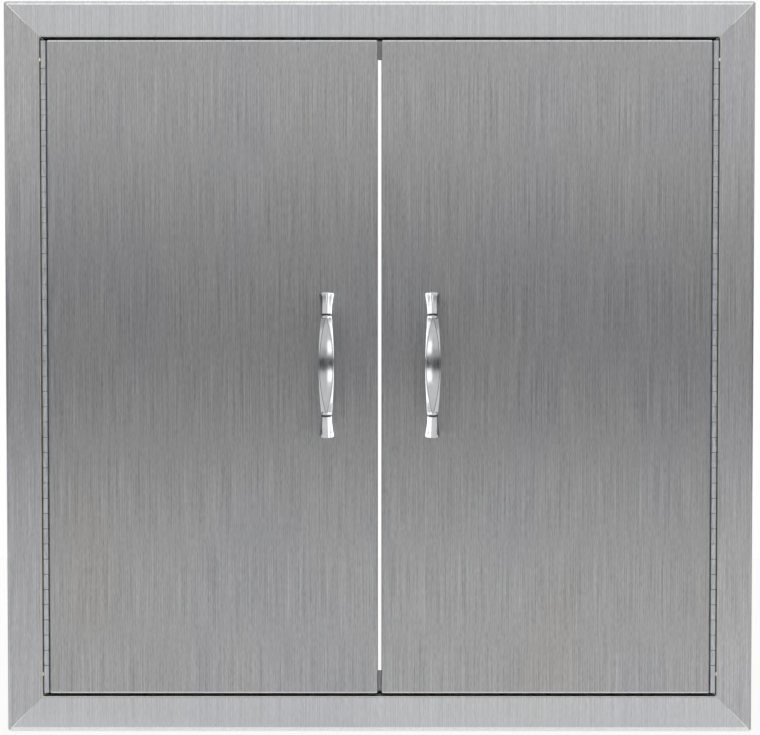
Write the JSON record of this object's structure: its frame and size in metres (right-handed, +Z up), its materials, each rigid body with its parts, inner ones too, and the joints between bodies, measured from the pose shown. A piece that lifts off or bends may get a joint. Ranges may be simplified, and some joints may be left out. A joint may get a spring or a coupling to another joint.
{
  "type": "bbq island access door",
  "caption": "Double stainless access door for an outdoor kitchen island: wall frame, two doors on piano hinges, bow pull handles and magnetic catches.",
  "frame": {"origin": "middle of the frame's bottom edge, in the plane of the island's face, where the flange's outer return rests", "axes": "+X to the right as seen from in front, +Y back into the island, +Z up"},
  "size_m": [0.621, 0.0733, 0.607],
  "materials": {
    "frame_steel": "brushed stainless sheet, fine straight grain",
    "door_steel": "brushed stainless sheet, fine vertical grain",
    "liner_steel": "plain stainless sheet, mill finish",
    "plain_steel": "plain stainless sheet, dull",
    "hinge_steel": "bright rolled stainless",
    "pin_steel": "bright drawn stainless rod",
    "weld_metal": "ground weld, slightly straw-coloured",
    "handle_metal": "cast and satin polished metal",
    "screw_steel": "bright stainless screw",
    "strike_steel": "bright zinc-plated steel",
    "catch_plastic": "fine matt moulding",
    "magnet_ceramic": "dark grey pressed ferrite"
  },
  "bodies": {
    "frame": {"frame_left_stile": "frame_steel", "frame_right_stile": "frame_steel", "frame_bottom_rail": "frame_steel", "frame_top_rail": "frame_steel", "frame_corner_welds": "weld_metal", "hinge_frame_leaf_left": "hinge_steel", "hinge_frame_leaf_right": "hinge_steel", "hinge_pin_left": "pin_steel", "hinge_pin_right": "pin_steel", "hinge_tack_welds_left": "weld_metal", "hinge_tack_welds_right": "weld_metal", "stop_bracket_bottom": "plain_steel", "stop_bracket_top": "plain_steel", "catch_housing_bottom": "catch_plastic", "catch_housing_top": "catch_plastic", "catch_magnets_bottom": "magnet_ceramic", "catch_magnets_top": "magnet_ceramic", "catch_screws_bottom": "screw_steel", "catch_screws_top": "screw_steel"},
    "door_left": {"door_skin_left": "door_steel", "door_liner_left": "liner_steel", "handle_channel_left": "plain_steel", "handle_left": "handle_metal", "handle_screws_left": "screw_steel", "strike_plate_bottom_left": "strike_steel", "strike_plate_top_left": "strike_steel", "hinge_door_leaf_left": "hinge_steel"},
    "door_right": {"door_skin_right": "door_steel", "door_liner_right": "liner_steel", "handle_channel_right": "plain_steel", "handle_right": "handle_metal", "handle_screws_right": "screw_steel", "strike_plate_bottom_right": "strike_steel", "strike_plate_top_right": "strike_steel", "hinge_door_leaf_right": "hinge_steel"}
  },
  "joints": [
    {"name": "left_hinge", "type": "hinge", "parent": "frame", "child": "door_left", "pos_m": [-0.2778, -0.0068, 0.3035], "axis": [0, 0, -1], "range_deg": [0, 135]},
    {"name": "right_hinge", "type": "hinge", "parent": "frame", "child": "door_right", "pos_m": [0.2778, -0.0068, 0.3035], "axis": [0, 0, 1], "range_deg": [0, 135]}
  ]
}
